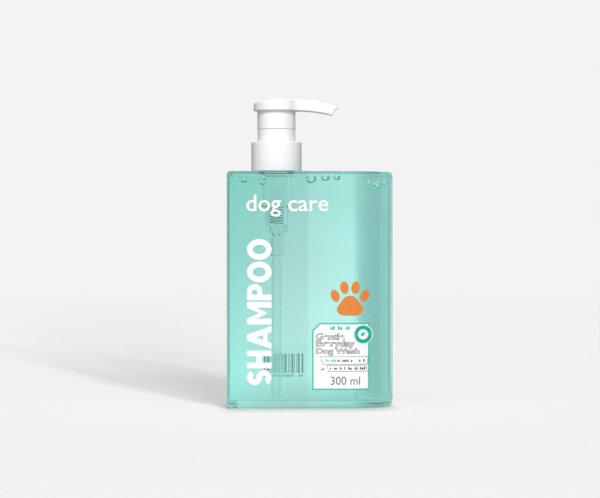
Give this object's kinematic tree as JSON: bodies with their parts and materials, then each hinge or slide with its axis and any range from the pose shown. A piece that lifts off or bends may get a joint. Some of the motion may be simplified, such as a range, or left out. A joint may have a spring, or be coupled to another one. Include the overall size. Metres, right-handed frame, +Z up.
{
  "type": "pump shampoo bottle",
  "caption": "Clear bottle with a square end and a half-round end, full of mint-green shampoo, closed by a white screw-on lotion pump whose nozzle head locks down.",
  "frame": {"origin": "centre of the bottle's base, on the surface it stands on", "axes": "+Z up, -Y out of the front face with the label, +X towards the half-round end and the nozzle"},
  "size_m": [0.079, 0.0468, 0.147],
  "materials": {
    "clear_bottle": "gloss",
    "shampoo": "gloss",
    "label_film": "satin",
    "clear_film": "gloss",
    "white_plastic": "satin",
    "seal_foam": "matte",
    "natural_plastic": "satin",
    "piston_plastic": "satin",
    "ball_glass": "gloss",
    "spring_steel": "satin"
  },
  "bodies": {
    "bottle": {"bottle": "clear_bottle", "shampoo": "shampoo", "front_label": "label_film", "back_label": "clear_film"},
    "pump": {"gasket": "seal_foam", "chaplet": "white_plastic", "pump_housing": "natural_plastic", "dip_tube": "natural_plastic", "ball_retainer": "natural_plastic", "intake_ball": "ball_glass", "return_spring": "spring_steel"},
    "collar": {"collar": "white_plastic"},
    "plunger": {"piston": "piston_plastic"},
    "head": {"stem": "natural_plastic", "valve_seat": "natural_plastic", "outlet_ball": "ball_glass", "actuator_head": "white_plastic"}
  },
  "joints": [
    {"name": "pump_lift", "type": "slide", "parent": "bottle", "child": "pump", "axis": [0, 0, 1], "range_m": [0, 0.00477]},
    {"name": "collar_turn", "type": "hinge", "parent": "pump", "child": "collar", "pos_m": [-0.01625, 0, 0.12], "axis": [0, 0, 1], "range_deg": [0, 540]},
    {"name": "head_lift", "type": "slide", "parent": "pump", "child": "plunger", "axis": [0, 0, 1], "range_m": [0, 0.013], "deforming": ["return_spring"]},
    {"name": "head_swivel", "type": "hinge", "parent": "plunger", "child": "head", "pos_m": [-0.01625, 0, 0.14], "axis": [0, 0, 1], "continuous": true}
  ],
  "couplings": [
    {"joint": "pump_lift", "follows": "collar_turn", "m_per_rad": 0.00050532}
  ]
}
